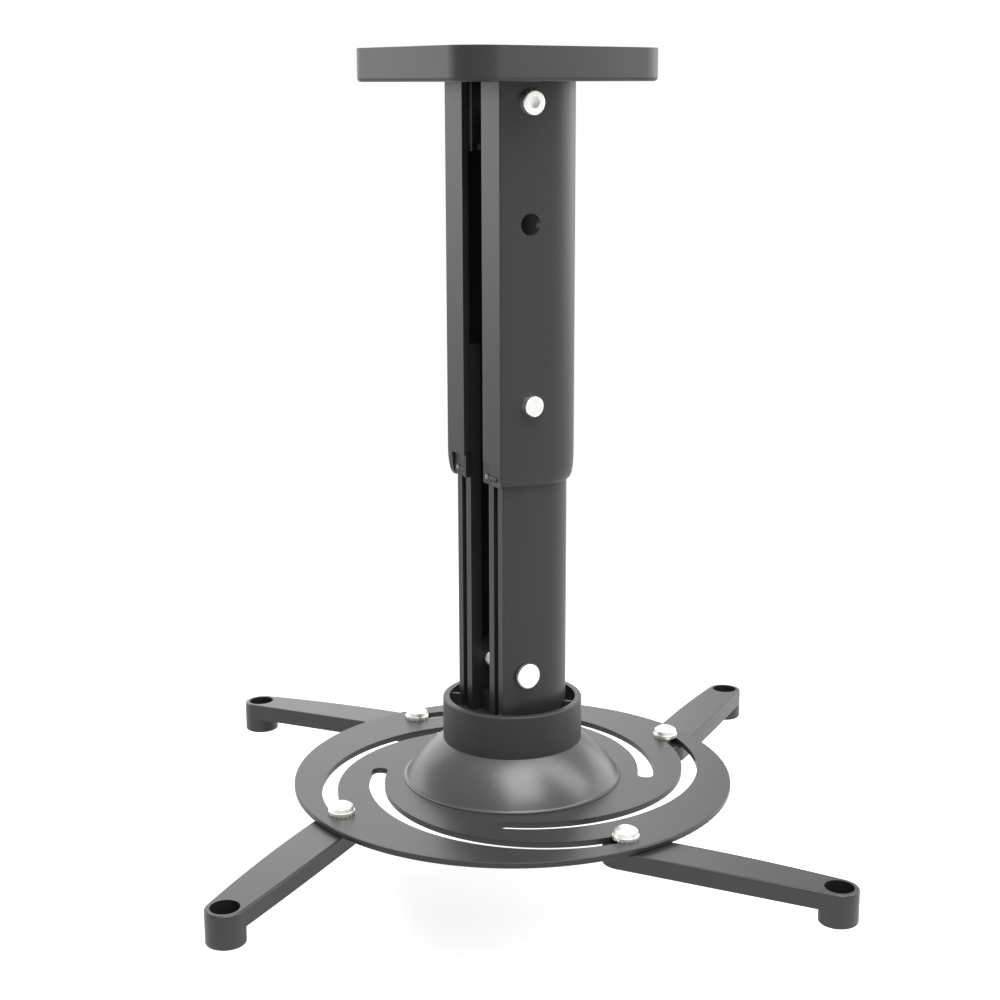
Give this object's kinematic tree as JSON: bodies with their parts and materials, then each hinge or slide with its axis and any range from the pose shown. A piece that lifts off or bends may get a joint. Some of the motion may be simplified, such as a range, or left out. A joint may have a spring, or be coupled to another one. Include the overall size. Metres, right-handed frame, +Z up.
{
  "type": "projector ceiling mount",
  "caption": "Telescoping projector ceiling mount: teardrop ceiling plate, slotted column, ball joint, and a round slotted plate with swinging arms that end in screw bosses.",
  "frame": {"origin": "on the column's axis, at the ceiling face (top of the ceiling plate's rim)", "axes": "+Z up towards the ceiling along the column, +X towards the rounded nose of the ceiling plate (the column's cable slot faces -X), +Y towards the nuts of the cross bolts"},
  "size_m": [0.3218, 0.3218, 0.3182],
  "materials": {
    "cover_plastic": "fine matt grain",
    "plate_paint": "matt powder coat",
    "column_paint": "matt powder coat",
    "bracket_aluminium": "extruded, dull",
    "zinc_steel": "bright zinc",
    "bolt_steel": "bright zinc",
    "bright_steel": "bright nickel",
    "spring_steel": "plain spring steel",
    "black_nylon": "smooth nylon",
    "collar_paint": "matt powder coat on a casting",
    "dome_paint": "satin powder coat",
    "cup_steel": "zinc plated",
    "stud_steel": "zinc plated",
    "nut_zinc": "bright zinc",
    "arm_paint": "matt powder coat"
  },
  "bodies": {
    "ceiling_side": {"ceiling_plate": "plate_paint", "plate_cover": "cover_plastic", "column_bracket": "bracket_aluminium", "bracket_screws": "zinc_steel", "top_bolt": "bolt_steel", "top_bolt_nut": "zinc_steel", "outer_column": "column_paint", "glide_pads": "black_nylon", "glide_screws": "zinc_steel"},
    "inner_side": {"inner_column": "column_paint", "height_spring": "spring_steel", "bottom_bolt": "zinc_steel", "bottom_bolt_nut": "bright_steel", "collar": "collar_paint", "clamp_bolt": "zinc_steel", "clamp_cup": "cup_steel", "clamp_spring_washer": "zinc_steel", "clamp_nut": "zinc_steel"},
    "height_button": {"height_button": "bright_steel"},
    "pressure_washer": {"pressure_washer": "spring_steel"},
    "friction_washer": {"friction_washer": "black_nylon"},
    "projector_plate": {"dome": "dome_paint", "slot_plate": "plate_paint"},
    "slot_bolt_1": {"slot_bolt_1": "stud_steel", "cap_nut_1": "nut_zinc"},
    "arm_1": {"arm_1": "arm_paint"},
    "slot_bolt_2": {"slot_bolt_2": "stud_steel", "cap_nut_2": "nut_zinc"},
    "arm_2": {"arm_2": "arm_paint"},
    "slot_bolt_3": {"slot_bolt_3": "stud_steel", "cap_nut_3": "nut_zinc"},
    "arm_3": {"arm_3": "arm_paint"},
    "slot_bolt_4": {"slot_bolt_4": "stud_steel", "cap_nut_4": "nut_zinc"},
    "arm_4": {"arm_4": "arm_paint"}
  },
  "joints": [
    {"name": "height_slide", "type": "slide", "parent": "ceiling_side", "child": "inner_side", "axis": [0, 0, 1], "range_m": [0, 0.071], "deforming": ["height_button", "height_spring"]},
    {"name": "height_button_press", "type": "slide", "parent": "inner_side", "child": "height_button", "axis": [0, 1, 0], "range_m": [0, 0.0064], "stiffness_N_per_m": 1200, "springref_m": -0.002, "deforming": ["height_spring"]},
    {"name": "ball_turn", "type": "hinge", "parent": "inner_side", "child": "pressure_washer", "pos_m": [0, 0, -0.32765], "axis": [0, 0, 1], "continuous": true},
    {"name": "ball_tilt", "type": "hinge", "parent": "pressure_washer", "child": "friction_washer", "pos_m": [0, 0, -0.32765], "axis": [0, 1, 0], "range_deg": [-15, 15]},
    {"name": "plate_swivel", "type": "hinge", "parent": "friction_washer", "child": "projector_plate", "pos_m": [0, 0, -0.32765], "axis": [0, 0, 1], "continuous": true},
    {"name": "bolt_travel_1", "type": "hinge", "parent": "projector_plate", "child": "slot_bolt_1", "pos_m": [0.01233, 0.00715, -0.3003], "axis": [0, 0, 1], "range_deg": [-80, 0]},
    {"name": "arm_turn_1", "type": "hinge", "parent": "slot_bolt_1", "child": "arm_1", "pos_m": [0.0818, 0, -0.30275], "axis": [0, 0, 1], "range_deg": [-60, 60]},
    {"name": "bolt_travel_2", "type": "hinge", "parent": "projector_plate", "child": "slot_bolt_2", "pos_m": [-0.00715, 0.01233, -0.3003], "axis": [0, 0, 1], "range_deg": [-80, 0]},
    {"name": "arm_turn_2", "type": "hinge", "parent": "slot_bolt_2", "child": "arm_2", "pos_m": [0, 0.0818, -0.30275], "axis": [0, 0, 1], "range_deg": [-60, 60]},
    {"name": "bolt_travel_3", "type": "hinge", "parent": "projector_plate", "child": "slot_bolt_3", "pos_m": [-0.01233, -0.00715, -0.3003], "axis": [0, 0, 1], "range_deg": [-80, 0]},
    {"name": "arm_turn_3", "type": "hinge", "parent": "slot_bolt_3", "child": "arm_3", "pos_m": [-0.0818, 0, -0.30275], "axis": [0, 0, 1], "range_deg": [-60, 60]},
    {"name": "bolt_travel_4", "type": "hinge", "parent": "projector_plate", "child": "slot_bolt_4", "pos_m": [0.00715, -0.01233, -0.3003], "axis": [0, 0, 1], "range_deg": [-80, 0]},
    {"name": "arm_turn_4", "type": "hinge", "parent": "slot_bolt_4", "child": "arm_4", "pos_m": [0, -0.0818, -0.30275], "axis": [0, 0, 1], "range_deg": [-60, 60]}
  ]
}
